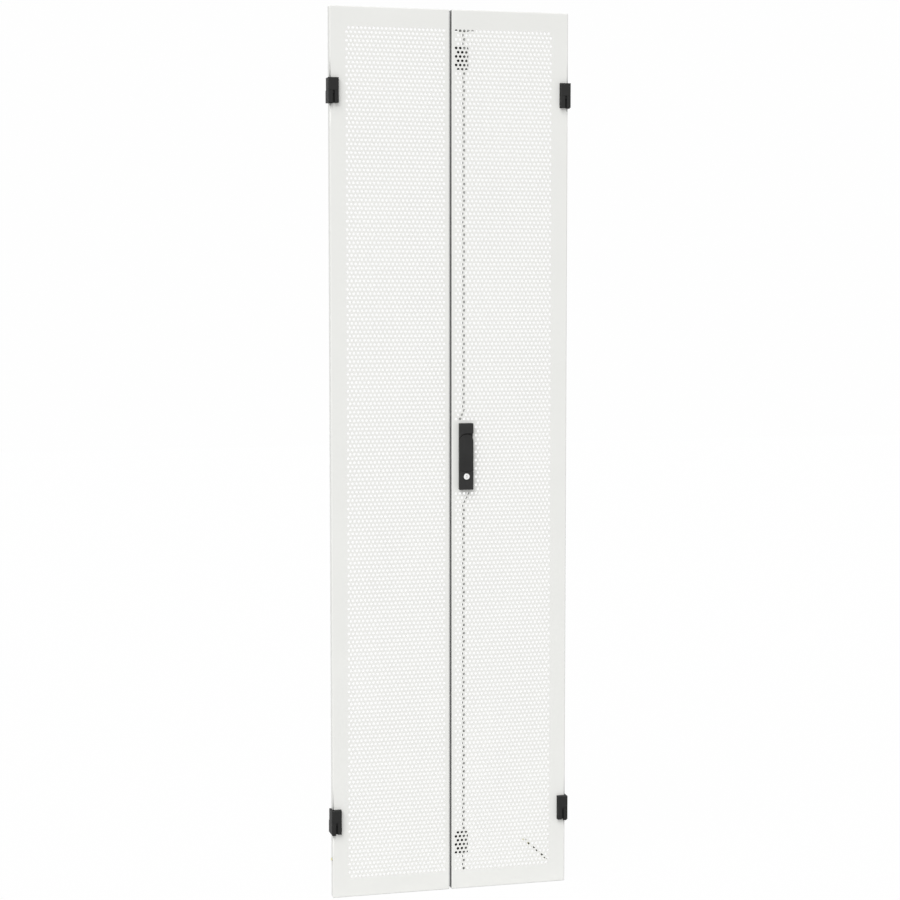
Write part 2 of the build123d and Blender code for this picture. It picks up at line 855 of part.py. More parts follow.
def ring_terminal(x, z):
    """Ring terminal on an earth stud."""
    depth = (sheet_back_y + ring_thickness, sheet_back_y + 2 * ring_thickness)
    ring = inward(x, z, depth, ring_radius)
    return ring - inward(x, z, depth, earth_stud_radius)


def earth_nuts(x, z):
    """The nut under the ring terminal and the nut on top of it."""
    thin = (sheet_back_y, sheet_back_y + ring_thickness)
    top = sheet_back_y + 2 * ring_thickness
    thick = (top, top + earth_nut_height)
    return Compound([
        hex_nut(x, z, thin, earth_nut_across, earth_stud_radius),
        hex_nut(x, z, thick, earth_nut_across, earth_stud_radius),
    ])


def lead(points):
    """A lead along straight runs and wide arcs."""
    path = FilletPolyline(*points, radius=lead_bend)
    start = Vector(*points[0])
    toward = Vector(*points[1]) - start
    tube = sweep(Plane(origin=start, z_dir=toward) * Circle(lead_radius), path=path)
    return tube


def right_lead_points():
    """Route of the right lead from its ring terminal up to its sleeve."""
    x, z = earth_stud_right
    to_x, to_z = clip_point
    return [
        (x - ring_radius, lead_seat_y, z + ring_radius),
        (x - lead_step_x, (lead_y + lead_seat_y) / 2, z + lead_step_z),
        ((x + to_x) / 2, lead_y, (z + to_z) / 2 + lead_radius),
        (to_x, lead_y, to_z),
    ]


def left_lead_points():
    """Route of the left lead from its ring terminal to the outer flange."""
    x, z = earth_stud_left
    end_x = sleeve_length - half_width - sleeve_proud
    return [
        (x, lead_seat_y, z + ring_radius),
        (x, lead_y, z + (grommet_z - z) * lead_turn_share),
        (x - sleeve_radius, lead_y, grommet_z),
        (end_x, lead_y, grommet_z),
    ]


def right_sleeve():
    """Sleeved end of the right lead, in line with its last run."""
    points = right_lead_points()
    end = Vector(*points[-1])
    line = (end - Vector(*points[-2])).normalized()
    base = Plane(origin=end, z_dir=line)
    return extrude(base * Circle(sleeve_radius), amount=sleeve_length)


def right_clip():
    """Push-in clip that holds the sleeve against the sheet."""
    points = right_lead_points()
    end = Vector(*points[-1])
    line = (end - Vector(*points[-2])).normalized()
    middle = end + line * (sleeve_length / 2)
    plane = Plane(origin=middle - line * (clip_length / 2), x_dir=(0, 1, 0), z_dir=line)
    reach = lead_y - sheet_back_y
    foot = Pos(-reach / 2, 0) * Rectangle(reach, clip_half)
    outline = foot + Circle(clip_half) - Circle(sleeve_radius)
    return extrude(plane * outline, amount=clip_length)


def left_sleeve():
    """Sleeved end of the left lead, standing out of the outer flange."""
    tip = -half_width - sleeve_proud
    return sideways(lead_y, grommet_z, (tip, tip + sleeve_length), sleeve_radius)


def left_grommet():
    """Rubber grommet in the outer flange, round the sleeve."""
    outer = -half_width - grommet_flange
    inner = -half_width + sheet
    ring = sideways(lead_y, grommet_z, (outer, -half_width), grommet_radius)
    ring += sideways(lead_y, grommet_z, (-half_width, inner), grommet_neck)
    ring += sideways(lead_y, grommet_z, (inner, inner + grommet_flange), grommet_radius)
    return ring - sideways(lead_y, grommet_z, (outer, inner + grommet_flange), sleeve_radius)


def build_hinges():
    """The four hinges: door half, cabinet half and pin of each."""
    for side, hand in ((-1, "left"), (1, "right")):
        for level, centre in hinge_centres.items():
            name = level + "_" + hand
            save(hinge_block(side, centre), "hinge_block_" + name)
            save(hinge_bracket(side, centre), "hinge_bracket_" + name)
            save(hinge_pin(side, centre), "hinge_pin_" + name)


def build_leaves():
    """The two leaves and the nuts on their studs."""
    seat = sheet_back_y + wing_thickness
    save(left_leaf(), "left_leaf")
    save(right_leaf(), "right_leaf")
    save(stud_nuts(hinge_stud_places(-1) + bolt_stud_places(), seat), "left_leaf_nuts")
    save(stud_nuts(hinge_stud_places(1) + end_stud_places(), seat), "right_leaf_nuts")


def build_handle():
    """The swing handle with its lock."""
    save(handle_base(), "handle_base")
    save(handle_bridges(), "handle_bridges")
    save(handle_screws(), "handle_screws")
    save(handle_rotor(), "handle_rotor")
    save(handle_lever(), "handle_lever")
    save(lever_pin(), "lever_pin")
    save(lock_barrel(), "lock_barrel")
    save(lock_nut(), "lock_nut")
    save(lock_plug(), "lock_plug")
    save(lock_tongue(), "lock_tongue")


def build_rods():
    """The cam, the two rods and all their guides."""
    studs = end_stud_places()
    save(lock_cam(), "lock_cam")
    save(cam_screw(), "cam_screw")
    save(locking_rod(1, crank_near, crank_far), "upper_rod")
    save(locking_rod(-1, crank_lower_near, crank_lower_far), "lower_rod")
    save(rod_guide(guide_z_upper), "upper_rod_guide")
    save(rod_guide(guide_z_lower), "lower_rod_guide")
    save(guide_screws(), "guide_screws")
    save(end_guide(1, end_upper_near, end_upper_far, end_wing_near, studs[0:2]), "upper_end_guide")
    save(end_guide(-1, end_lower_near, end_lower_far, end_lower_near, studs[2:4]), "lower_end_guide")


def build_bolts():
    """The slide bolts of the left leaf."""
    for way, level in ((1, "upper"), (-1, "lower")):
        save(bolt_case(way), level + "_bolt_case")
        save(slide_bolt(way), level + "_slide_bolt")


def build_earthing():
    """The earth leads of both leaves with their ends."""
    save(lead(right_lead_points()), "right_earth_lead")
    save(lead(left_lead_points()), "left_earth_lead")
    save(ring_terminal(*earth_stud_right), "right_ring_terminal")
    save(ring_terminal(*earth_stud_left), "left_ring_terminal")
    save(earth_nuts(*earth_stud_right), "right_earth_nuts")
    save(earth_nuts(*earth_stud_left), "left_earth_nuts")
    save(right_sleeve(), "right_lead_sleeve")
    save(left_sleeve(), "left_lead_sleeve")
    save(right_clip(), "right_lead_clip")
    save(left_grommet(), "left_lead_grommet")


build_hinges()
build_leaves()
build_handle()
build_rods()
build_bolts()
build_earthing()
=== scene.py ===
import math

import bmesh
import bpy
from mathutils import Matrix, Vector
from mathutils.geometry import delaunay_2d_cdt


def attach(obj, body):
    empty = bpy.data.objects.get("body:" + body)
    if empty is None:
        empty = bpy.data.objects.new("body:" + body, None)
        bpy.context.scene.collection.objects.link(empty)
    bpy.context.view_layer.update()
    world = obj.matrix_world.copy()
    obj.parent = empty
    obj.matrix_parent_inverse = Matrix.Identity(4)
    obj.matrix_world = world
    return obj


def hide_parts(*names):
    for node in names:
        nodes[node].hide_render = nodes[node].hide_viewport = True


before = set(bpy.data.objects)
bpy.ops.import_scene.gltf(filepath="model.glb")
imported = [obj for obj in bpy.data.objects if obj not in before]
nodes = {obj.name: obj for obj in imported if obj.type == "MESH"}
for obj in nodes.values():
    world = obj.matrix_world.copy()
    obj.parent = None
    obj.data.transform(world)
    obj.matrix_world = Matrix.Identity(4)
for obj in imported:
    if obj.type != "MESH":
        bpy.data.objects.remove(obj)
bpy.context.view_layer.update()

scene = bpy.context.scene

MM = 0.001

# Sizes of the leaves in millimetres, as in the solids
HALF_HEIGHT = 1060.0
HALF_WIDTH = 292.0
HALF_GAP = 2.5
FRONT_Y = -30.0
BACK_Y = -8.0
SHEET = 1.5
BEND = 3.0
OUTER_LIP = 30.0
INNER_LIP = 13.0
RAIL_LIP = 15.0
RAIL_LIP_END = 77.0
LIP_CLEAR = 0.6
BEND_STEPS = 5
STRIP_STEP = 60.0
JOIN_WITHIN = 0.02
SLIVER = 0.01

# Round holes of the sheets: columns half a pitch apart, rows a full pitch apart
HOLE_RADIUS = 3.45
HOLE_SIDES = 8
COLUMN_STEP = 4.99
COLUMN_SHIFT = -1.14
ROW_STEP = 10.0
ROW_SHIFT = 0.3
LAST_ROW = 101
COLUMNS = {-1: (-50, -3), 1: (3, 50)}

# Handle and hinges
HANDLE_X = 37.0
CUTOUT = (27.0, 148.0)
CUTOUT_CORNER = 3.0
HANDLE_CLEAR = (24.0, 84.0)
HINGE_CENTRES = (864.5, -874.0)
HALF_HINGE = 29.0
NOTCH_HALF = 30.0
NOTCH_X = 270.7

# Weld studs: places in the front view, radius, length and thread
HINGE_STUD_X = 264.6
HINGE_STUD_SHARES = (0.25, 0.75)
ROD_X = 35.8
END_GUIDE_STEP = 16.5
END_GUIDE_STUD_Z = (1024.25, -1033.0)
BOLT_X = -26.0
BOLT_STUD_STEP = 13.3
BOLT_STUD_Z = 1032.0
EARTH_STUDS = {-1: (-263.0, -1012.0), 1: (261.3, -1019.0)}
STUD_RADIUS = 2.0
STUD_LENGTH = 9.0
STUD_PITCH = 0.7
STUD_SIDES = 20
STUD_ROOT = 0.1
EARTH_STUD_RADIUS = 3.0
EARTH_STUD_LENGTH = 11.0
EARTH_STUD_PITCH = 1.0
EARTH_STUD_SIDES = 24
THREAD_DEPTH_SHARE = 0.32
RINGS_PER_TURN = 4
TIP_RINGS = 5
TIP_START = 2

# Earth leads: from a ring terminal on a stud to a sleeve that a clip or a grommet holds
LEAD_RADIUS = 2.2
LEAD_DEPTH = 8.0
LEAD_STEP = (18.0, 18.5)
LEAD_TURN_SHARE = 0.55
RING_RADIUS = 6.0
RING_THICKNESS = 1.2
CLIP_X = 199.3
CLIP_Z = -960.0
GROMMET_Z = -966.0
LEFT_END_X = -279.0
SLEEVE_RADIUS = 2.8
LEAD_Y = FRONT_Y + LEAD_DEPTH
SEAT_Y = FRONT_Y + SHEET + 2 * RING_THICKNESS + LEAD_RADIUS


# Materials

# Scales of the noises for each metre, and the range that most of a noise's values take
COAT_CLOUDS = 7.0
PEEL_SHARE = 0.35
PLASTIC_CLOUDS = 26.0
PLATING_CLOUDS = 60.0
DRAWN_LINES = 2600.0
LINE_STRETCH = 0.02
LEAD_GRAIN = 900.0
NOISE_LOW = 0.3
NOISE_HIGH = 0.7

# Painted shade on the two flanges at the gap: its level, and how far from the front face and the gap
# it starts
GAP_SHADE_LEVEL = 0.25
GAP_SHADE_EDGE = 0.6
GAP_SHADE_FRONT = 0.5


def material(name, color, metallic=0.0, roughness=0.5, specular=0.5):
    """A node material with its main values on the shader's own sockets."""
    mat = bpy.data.materials.new(name)
    mat.use_nodes = True
    shader = mat.node_tree.nodes["Principled BSDF"]
    shader.inputs["Base Color"].default_value = (*color, 1.0)
    shader.inputs["Metallic"].default_value = metallic
    shader.inputs["Roughness"].default_value = roughness
    shader.inputs["Specular IOR Level"].default_value = specular
    return mat, shader


class Wiring:
    """Short calls that add and join the nodes of one material."""

    def __init__(self, mat):
        self.tree = mat.node_tree
        self.shader = self.tree.nodes["Principled BSDF"]
        self.place = self.add("ShaderNodeTexCoord").outputs["Object"]

    def add(self, kind, **values):
        """A new node with these properties."""
        node = self.tree.nodes.new(kind)
        for key, value in values.items():
            setattr(node, key, value)
        return node

    def join(self, output, socket):
        self.tree.links.new(output, socket)

    def split(self, vector):
        """The X, Y and Z of a vector."""
        node = self.add("ShaderNodeSeparateXYZ")
        self.join(vector, node.inputs["Vector"])
        return node.outputs

    def scaled(self, scale):
        """Object coordinates with one scale for each axis."""
        mapping = self.add("ShaderNodeMapping")
        mapping.inputs["Scale"].default_value = scale
        self.join(self.place, mapping.inputs["Vector"])
        return mapping.outputs["Vector"]

    def noise(self, scale, detail=2.0, rough=0.5, place=None):
        """Noise over the object's coordinates, or over other ones."""
        node = self.add("ShaderNodeTexNoise")
        node.inputs["Scale"].default_value = scale
        node.inputs["Detail"].default_value = detail
        node.inputs["Roughness"].default_value = rough
        self.join(place or self.place, node.inputs["Vector"])
        return node.outputs["Fac"]

    def span(self, value, low, high, to_low, to_high):
        """A value's range low to high, spread over another range."""
        node = self.add("ShaderNodeMapRange")
        ends = {"From Min": low, "From Max": high, "To Min": to_low, "To Max": to_high}
        for key, number in ends.items():
            node.inputs[key].default_value = number
        self.join(value, node.inputs["Value"])
        return node.outputs["Result"]

    def vary(self, noise, low, high):
        """The range that most of a noise's values take, spread over low to high."""
        return self.span(noise, NOISE_LOW, NOISE_HIGH, low, high)

    def ramp(self, value, stops):
        """A colour that follows a value from stop to stop."""
        node = self.add("ShaderNodeValToRGB")
        ramp = node.color_ramp
        while len(ramp.elements) < len(stops):
            ramp.elements.new(0.5)
        for element, (place, color) in zip(ramp.elements, stops):
            element.position = place
            element.color = (*color, 1.0)
        self.join(value, node.inputs["Fac"])
        return node.outputs["Color"]

    def bump(self, height, strength, distance):
        """A normal that follows a height."""
        node = self.add("ShaderNodeBump")
        node.inputs["Strength"].default_value = strength
        node.inputs["Distance"].default_value = distance
        self.join(height, node.inputs["Height"])
        return node.outputs["Normal"]


def powder_coat(name, color, grain=900.0, roughness=0.42, spread=0.012, bump=0.00006, specular=0.5):
    """Powder coat: fine orange peel, slight clouds of colour and gloss."""
    mat, shader = material(name, color, roughness=roughness, specular=specular)
    w = Wiring(mat)
    clouds = w.noise(COAT_CLOUDS, 3.0)
    low = tuple(c * (1 - spread) for c in color)
    high = tuple(min(1.0, c * (1 + spread)) for c in color)
    w.join(w.ramp(clouds, ((NOISE_LOW, low), (NOISE_HIGH, high))), shader.inputs["Base Color"])
    fine = w.noise(grain, 2.0)
    w.join(w.vary(fine, roughness - 0.05, roughness + 0.07), shader.inputs["Roughness"])
    peel = w.noise(grain * PEEL_SHARE, 3.0, 0.6)
    w.join(w.bump(peel, 0.35, bump), shader.inputs["Normal"])
    return mat


def moulded(name, color, roughness=0.5, grain=1600.0, depth=0.00005, relief=0.5, specular=0.4):
    """Moulded plastic: spark-eroded grain and slight clouds of colour."""
    mat, shader = material(name, color, roughness=roughness, specular=specular)
    w = Wiring(mat)
    clouds = w.noise(PLASTIC_CLOUDS, 3.0)
    dark = tuple(c * 0.88 for c in color)
    pale = tuple(min(1.0, c * 1.15) for c in color)
    w.join(w.ramp(clouds, ((0.35, dark), (NOISE_HIGH, pale))), shader.inputs["Base Color"])
    fine = w.noise(grain, 3.0, 0.65)
    w.join(w.vary(fine, roughness - 0.08, roughness + 0.1), shader.inputs["Roughness"])
    w.join(w.bump(fine, relief, depth), shader.inputs["Normal"])
    return mat


def drawn_steel(name, color, along, roughness=0.32, depth=0.00002):
    """Zinc-plated steel with fine lines along one axis and cloudy plating."""
    mat, shader = material(name, color, metallic=1.0, roughness=roughness)
    w = Wiring(mat)
    stretch = [1.0, 1.0, 1.0]
    stretch[along] = LINE_STRETCH
    lines = w.noise(DRAWN_LINES, 2.0, 0.6, w.scaled(stretch))
    plating = w.noise(PLATING_CLOUDS, 4.0, 0.6)
    low = tuple(c * 0.86 for c in color)
    high = tuple(min(1.0, c * 1.08) for c in color)
    w.join(w.ramp(plating, ((NOISE_LOW, low), (0.75, high))), shader.inputs["Base Color"])
    w.join(w.vary(lines, roughness - 0.08, roughness + 0.14), shader.inputs["Roughness"])
    w.join(w.bump(lines, 0.3, depth), shader.inputs["Normal"])
    return mat


def striped_lead(name, dark, bright):
    """Lead insulation: dark with a bright stripe along each side."""
    mat, shader = material(name, dark, roughness=0.45, specular=0.4)
    w = Wiring(mat)
    around = w.split(w.add("ShaderNodeUVMap").outputs["UV"])["X"]
    halves = w.add("ShaderNodeMath", operation="MULTIPLY")
    halves.inputs[1].default_value = 2.0
    w.join(around, halves.inputs[0])
    part = w.add("ShaderNodeMath", operation="FRACT")
    w.join(halves.outputs["Value"], part.inputs[0])
    stripes = ((0.28, dark), (0.34, bright), (0.66, bright), (0.72, dark))
    w.join(w.ramp(part.outputs["Value"], stripes), shader.inputs["Base Color"])
    fine = w.noise(LEAD_GRAIN, 2.0)
    w.join(w.vary(fine, 0.38, 0.52), shader.inputs["Roughness"])
    w.join(w.bump(fine, 0.25, 0.00003), shader.inputs["Normal"])
    return mat


def paint_gap_shade(mat):
    """Painted shade: darker paint on the two flanges that face each other across the gap, where shade
    falls deep in the gap.
    """
    w = Wiring(mat)
    place = w.split(w.place)
    away = w.add("ShaderNodeMath", operation="ABSOLUTE")
    w.join(place["X"], away.inputs[0])
    shaded_to = (HALF_GAP + GAP_SHADE_EDGE) * MM
    shaded_from = (FRONT_Y + GAP_SHADE_FRONT) * MM
    near_gap = w.span(away.outputs["Value"], shaded_to, (HALF_GAP + BEND) * MM, 1.0, 0.0)
    deep = w.span(place["Y"], shaded_from, (FRONT_Y + BEND) * MM, 0.0, 1.0)
    both = w.add("ShaderNodeMath", operation="MULTIPLY")
    w.join(near_gap, both.inputs[0])
    w.join(deep, both.inputs[1])
    shade = w.span(both.outputs["Value"], 0.0, 1.0, 1.0, GAP_SHADE_LEVEL)
    socket = w.shader.inputs["Base Color"]
    plain = socket.links[0].from_socket
    scale = w.add("ShaderNodeVectorMath", operation="SCALE")
    w.join(plain, scale.inputs[0])
    w.join(shade, scale.inputs["Scale"])
    w.join(scale.outputs["Vector"], socket)


def paint_light_across(mat, from_x, to_x, color):
    """Painted light: a lighter colour towards the right end of a piece, along X in millimetres."""
    w = Wiring(mat)
    share = w.span(w.split(w.place)["X"], from_x * MM, to_x * MM, 0.0, 1.0)
    socket = w.shader.inputs["Base Color"]
    plain = socket.links[0].from_socket
    mix = w.add("ShaderNodeMix", data_type="RGBA")
    w.join(share, mix.inputs[0])
    w.join(plain, mix.inputs[6])
    mix.inputs[7].default_value = (*color, 1.0)
    w.join(mix.outputs[2], socket)


paint = powder_coat("leaf_paint", (0.842, 0.844, 0.818))
# Painted shade in the gap between the leaves
paint_gap_shade(paint)
hinge_black = powder_coat("hinge_black", (0.021, 0.021, 0.0205), grain=1300.0, roughness=0.6,
                          spread=0.12, bump=0.00008, specular=0.2)
# Painted light: the handle base and lock barrel get a lighter black than the lever, standing in for
# the light from above on the cap
handle_black = moulded("handle_black", (0.0265, 0.0265, 0.026), roughness=0.6, specular=0.22)
lever_black = moulded("lever_black", (0.022, 0.022, 0.0215), roughness=0.55, specular=0.22)
guide_black = moulded("guide_black", (0.020, 0.020, 0.0205), roughness=0.6, specular=0.2)
# Painted light: the rod guides are a lighter grey right of x 35 mm, as a lit side
paint_light_across(guide_black, 33.5, 35.0, (0.26, 0.26, 0.25))
case_black = moulded("case_black", (0.020, 0.020, 0.0205), roughness=0.6, specular=0.2)
guide_grey = moulded("guide_grey", (0.12, 0.12, 0.115), roughness=0.55)
# Painted shade and light: the upper end guide goes from dark grey at x 20 mm to light grey at x 46 mm
paint_light_across(guide_grey, 20.0, 46.0, (0.50, 0.50, 0.49))
clip_nylon = moulded("clip_nylon", (0.82, 0.82, 0.78), roughness=0.45)
grommet_rubber = moulded("grommet_rubber", (0.55, 0.55, 0.53), roughness=0.7, grain=900.0)
sleeve_yellow = moulded("sleeve_yellow", (0.84, 0.78, 0.36), roughness=0.45)
rod_steel = drawn_steel("rod_steel", (0.56, 0.56, 0.55), along=2)
plate_steel = drawn_steel("plate_steel", (0.58, 0.58, 0.56), along=0)
nut_steel = drawn_steel("nut_steel", (0.60, 0.60, 0.58), along=1)
terminal_tin = drawn_steel("terminal_tin", (0.68, 0.67, 0.63), along=0, roughness=0.28)
lock_chrome = drawn_steel("lock_chrome", (0.985, 0.985, 0.98), along=1, roughness=0.16)
lead_jacket = striped_lead("lead_jacket", (0.010, 0.018, 0.009), (0.72, 0.62, 0.06))


# Mesh tools

def piece(name, mesh, mat, body, replaced=()):
    """A finished piece: in the scene, with its material, on its body."""
    obj = bpy.data.objects.new(name, mesh)
    scene.collection.objects.link(obj)
    mesh.materials.clear()
    mesh.materials.append(mat)
    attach(obj, body)
    if replaced:
        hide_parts(*replaced)
    return obj


def mesh_from(name, verts, faces):
    """A mesh from places in millimetres."""
    mesh = bpy.data.meshes.new(name)
    mesh.from_pydata([tuple(c * MM for c in v) for v in verts], [], faces)
    return mesh


def octagon(x, z):
    """Corners of one hole, counter-clockwise in the front view."""
    step = 2 * math.pi / HOLE_SIDES
    return [(x + HOLE_RADIUS * math.cos((k + 0.5) * step),
             z + HOLE_RADIUS * math.sin((k + 0.5) * step)) for k in range(HOLE_SIDES)]


def hole_centres(side):
    """Places of every hole of one leaf."""
    first, last = COLUMNS[side]
    places = []
    for row in range(-LAST_ROW, LAST_ROW + 1):
        z = ROW_SHIFT + row * ROW_STEP
        for column in range(first, last + 1):
            if (row + column) % 2:
                continue
            x = COLUMN_SHIFT + column * COLUMN_STEP
            in_plate = abs(x - HANDLE_X) < HANDLE_CLEAR[0] and abs(z) < HANDLE_CLEAR[1]
            if side < 0 or not in_plate:
                places.append((x, z))
    return places


def rounded_rectangle(x, z, width, height, radius, steps=4):
    """Outline of a rectangle round (x, z), counter-clockwise."""
    points = []
    for cx, cz, start in ((1, 1, 0), (-1, 1, 90), (-1, -1, 180), (1, -1, 270)):
        for k in range(steps + 1):
            angle = math.radians(start + 90 * k / steps)
            points.append((x + cx * (width / 2 - radius) + radius * math.cos(angle),
                           z + cz * (height / 2 - radius) + radius * math.sin(angle)))
    return points


def divided(start, end):
    """Places from start to end, about one strip step apart."""
    cuts = max(1, round(abs(end - start) / STRIP_STEP))
    return [start + (end - start) * k / cuts for k in range(cuts + 1)]


def leaf_mesh(side):
    """Outer surface of one folded, perforated leaf, before it is given its thickness."""
    inner = side * (HALF_GAP + BEND)
    outer = side * (HALF_WIDTH - BEND)
    top = HALF_HEIGHT - BEND
    notches = sorted((c - NOTCH_HALF, c + NOTCH_HALF) for c in HINGE_CENTRES)
    notch_x = side * NOTCH_X

    # Stretches of the outer edge between the notches, and of a rail with and without its lip
    lip_end = side * RAIL_LIP_END
    lip_stop = side * (HALF_WIDTH - OUTER_LIP - LIP_CLEAR)
    spans = [(-top, notches[0][0]), (notches[0][1], notches[1][0]), (notches[1][1], top)]
    rail_spans = [(inner, lip_end, 0.0), (lip_end, lip_stop, RAIL_LIP), (lip_stop, outer, 0.0)]

    # Outline of the flat front, up the outer edge and down the inner one, divided as the bends are
    outline = []
    for low, high in spans:
        if outline:
            outline += [(notch_x, outline[-1][1]), (notch_x, low)]
        outline += [(outer, z) for z in divided(low, high)]
    across = [inner] + [x for low, high, _ in rail_spans for x in divided(low, high)[1:]]
    outline += [(x, top) for x in across[-2::-1]]
    outline += [(inner, z) for z in divided(-top, top)[-2::-1]]
    outline += [(x, -top) for x in across[1:-1]]
    if side < 0:
        outline = outline[::-1]
    loops = [outline]
    if side > 0:
        loops.append(rounded_rectangle(HANDLE_X, 0, *CUTOUT, CUTOUT_CORNER)[::-1])
    loops += [octagon(x, z)[::-1] for x, z in hole_centres(side)]
    flat, edges, owners = [], [], []
    for number, loop in enumerate(loops):
        start = len(flat)
        flat += loop
        owners += [number] * len(loop)
        edges += [(start + k, start + (k + 1) % len(loop)) for k in range(len(loop))]
    points, _, triangles, sources, *_ = delaunay_2d_cdt([Vector(p) for p in flat], edges, [], 0, 1e-6)
    owner = [owners[source[0]] for source in sources]
    verts = [(p.x, FRONT_Y, p.y) for p in points]
    faces = []
    for triangle in triangles:
        loops_met = {owner[k] for k in triangle}
        in_hole = len(loops_met) == 1 and 0 not in loops_met
        x = sum(points[k].x for k in triangle) / 3
        z = sum(points[k].y for k in triangle) / 3
        in_notch = abs(x) > NOTCH_X and any(low < z < high for low, high in notches)
        if not in_hole and not in_notch:
            faces.append(list(triangle))
    bends = []

    def strip(path, across, is_bend):
        """Faces between copies of a path; across gives the place of a path point at each step."""
        start = len(verts)
        count = len(path)
        for place in across:
            verts.extend(place(point) for point in path)
        for row in range(len(across) - 1):
            for k in range(count - 1):
                a = start + row * count + k
                faces.append([a, a + 1, a + count + 1, a + count])
                if is_bend(row):
                    bends.append(len(faces) - 1)

    def profile(lip):
        """Depth and distance from the outline for a bend, a flange and, where asked, a lip."""
        steps = []
        for k in range(BEND_STEPS + 1):
            angle = math.radians(90 * k / BEND_STEPS)
            steps.append((BEND - BEND * math.sin(angle), FRONT_Y + BEND - BEND * math.cos(angle)))
        if lip:
            for k in range(BEND_STEPS + 1):
                angle = math.radians(90 * k / BEND_STEPS)
                steps.append((BEND - BEND * math.cos(angle), BACK_Y - BEND + BEND * math.sin(angle)))
            steps.append((lip, BACK_Y))
        else:
            steps += [(0.0, BACK_Y - BEND), (0.0, BACK_Y)]
        return steps

    def bent(lip):
        """Says which rows of a profile belong to a bend."""
        end = 2 * BEND_STEPS + 1 if lip else BEND_STEPS
        return lambda row: row < end and row != BEND_STEPS

    def upright_edge(edge_x, inward, low, high, lip):
        """Bend, flange and lip along a stretch of an upright edge."""
        steps = [(lambda z, d=d, y=y: (edge_x + inward * d, y, z)) for d, y in profile(lip)]
        strip(divided(low, high), steps, bent(lip))

    def level_edge(edge_z, inward, low, high, lip):
        """Bend, flange and lip along a stretch of the top or bottom edge."""
        steps = [(lambda x, d=d, y=y: (x, y, edge_z + inward * d)) for d, y in profile(lip)]
        strip(divided(low, high), steps, bent(lip))

    # Flanges and lips along the edges
    for low, high in spans:
        upright_edge(side * HALF_WIDTH, -side, low, high, OUTER_LIP)
    upright_edge(side * HALF_GAP, side, -top, top, INNER_LIP if side > 0 else 0.0)
    for way in (1, -1):
        for low, high, lip in rail_spans:
            level_edge(way * HALF_HEIGHT, -way, low, high, lip)

    # Round corners where two flanges meet
    for corner_x, towards in ((inner, -side), (outer, side)):
        for way in (1, -1):
            steps = []
            for d, y in profile(0.0):
                radius = BEND - d
                steps.append(lambda a, r=radius, y=y, cx=corner_x, t=towards, w=way: (
                    cx + t * r * math.cos(a), y, w * top + w * r * math.sin(a)))
            path = [math.radians(90 * k / BEND_STEPS) for k in range(BEND_STEPS + 1)]
            strip(path, steps, lambda row: True)

    mesh = mesh_from(("left" if side < 0 else "right") + "_skin", verts, faces)
    for index in bends:
        mesh.polygons[index].use_smooth = True
    bm = bmesh.new()
    bm.from_mesh(mesh)
    bmesh.ops.remove_doubles(bm, verts=bm.verts, dist=JOIN_WITHIN * MM)
    bmesh.ops.dissolve_degenerate(bm, edges=bm.edges, dist=SLIVER * MM)
    bmesh.ops.recalc_face_normals(bm, faces=bm.faces)
    flat_front = [f for f in bm.faces if abs(f.calc_center_median().y - FRONT_Y * MM) < SLIVER * MM]
    if sum(f.normal.y * f.calc_area() for f in flat_front) > 0:
        bmesh.ops.reverse_faces(bm, faces=bm.faces)
    bm.to_mesh(mesh)
    bm.free()
    return mesh


def build_leaf(side):
    """One leaf's sheet, with its thickness, in place of the leaf's coarse solid."""
    hand = "left" if side < 0 else "right"
    obj = piece(hand + "_perforated_sheet", leaf_mesh(side), paint, hand + "_door_leaf",
                (hand + "_leaf",))
    solid = obj.modifiers.new("thickness", "SOLIDIFY")
    solid.thickness = SHEET * MM
    solid.offset = -1.0
    solid.use_even_offset = True
    solid.use_quality_normals = True


for leaf_side in (-1, 1):
    build_leaf(leaf_side)


# Studs and leads

def threaded_stud(bm, x, z, y_low, y_high, radius, pitch, sides):
    """A stud along Y with a ridged thread."""
    depth = THREAD_DEPTH_SHARE * pitch
    rings = int((y_high - y_low) / pitch * RINGS_PER_TURN)
    previous = None
    for ring in range(rings + 1):
        y = y_low + (y_high - y_low) * ring / rings
        chamfered = min(1.0, (rings - ring + TIP_START) / TIP_RINGS)
        current = []
        for k in range(sides):
            turn = k / sides
            phase = (y / pitch + turn) % 1.0
            r = (radius - depth * abs(2 * phase - 1)) * chamfered
            angle = 2 * math.pi * turn
            place = (x + r * math.cos(angle), y, z + r * math.sin(angle))
            current.append(bm.verts.new(tuple(c * MM for c in place)))
        if previous:
            for k in range(sides):
                n = (k + 1) % sides
                bm.faces.new((previous[k], previous[n], current[n], current[k]))
        else:
            bm.faces.new(current)
        previous = current
    bm.faces.new(previous)


def build_studs(side, places):
    """All weld studs of one leaf as one piece."""
    hand = "left" if side < 0 else "right"
    bm = bmesh.new()
    seat = FRONT_Y + SHEET
    start = seat - STUD_ROOT
    for x, z in places:
        threaded_stud(bm, x, z, start, seat + STUD_LENGTH, STUD_RADIUS, STUD_PITCH, STUD_SIDES)
    threaded_stud(bm, *EARTH_STUDS[side], start, seat + EARTH_STUD_LENGTH, EARTH_STUD_RADIUS,
                  EARTH_STUD_PITCH, EARTH_STUD_SIDES)
    bmesh.ops.recalc_face_normals(bm, faces=bm.faces)
    mesh = bpy.data.meshes.new(hand + "_studs")
    bm.to_mesh(mesh)
    bm.free()
    piece(hand + "_weld_studs", mesh, nut_steel, hand + "_door_leaf")


